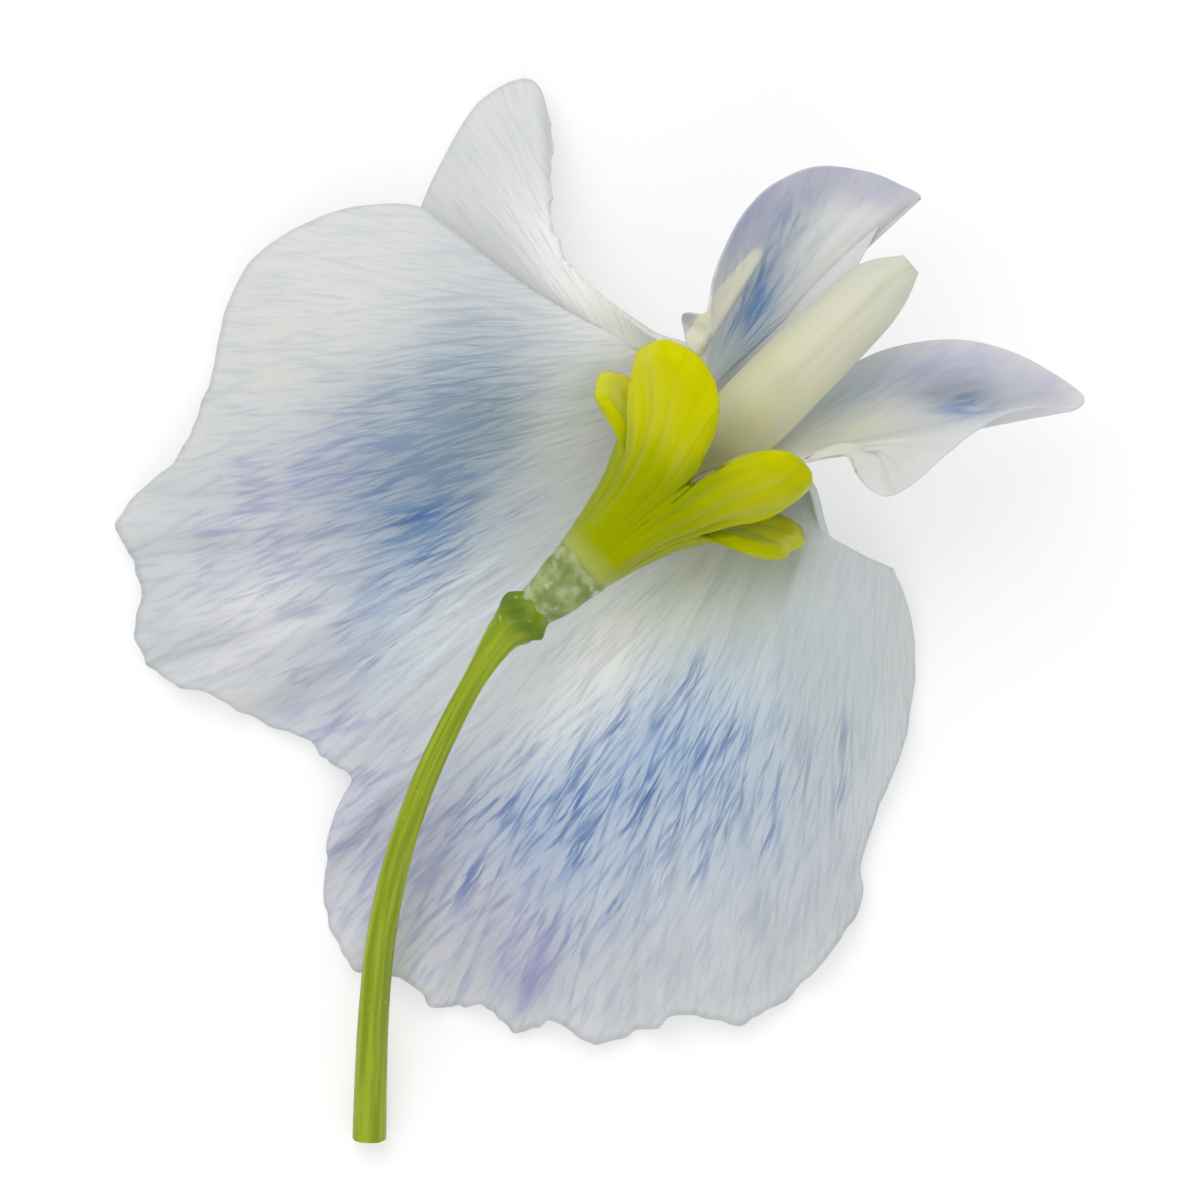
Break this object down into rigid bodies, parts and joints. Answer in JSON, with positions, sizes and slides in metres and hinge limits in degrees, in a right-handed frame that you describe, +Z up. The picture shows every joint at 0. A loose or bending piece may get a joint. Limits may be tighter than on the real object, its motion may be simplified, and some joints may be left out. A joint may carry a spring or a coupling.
{
  "type": "sweet pea flower",
  "caption": "Single sweet pea blossom on its own short stalk, picked and lying down, with a reflexed two-lobed standard, two wings, a keel and a five-toothed calyx.",
  "frame": {"origin": "middle of the footprint, on the surface the flower lies on", "axes": "+Y along the calyx towards the keel's tip, +Z up from the surface, through the back of the standard"},
  "size_m": [0.0468, 0.0538, 0.0176],
  "materials": {
    "standard": "matt petal, pale blue-white with fine blue and violet veins",
    "wings": "matt petal, pale blue with a violet margin and a cream base",
    "keel": "matt petal, cream",
    "calyx": "waxy yellow-green with a soft gloss",
    "collar": "clear grey-green, satin",
    "stalk": "satin green with fine lengthwise ridges"
  },
  "bodies": {
    "root": {"standard_petal": "standard", "left_wing_petal": "wings", "right_wing_petal": "wings", "keel_petal": "keel", "calyx": "calyx", "collar": "collar", "stalk": "stalk"}
  },
  "joints": []
}
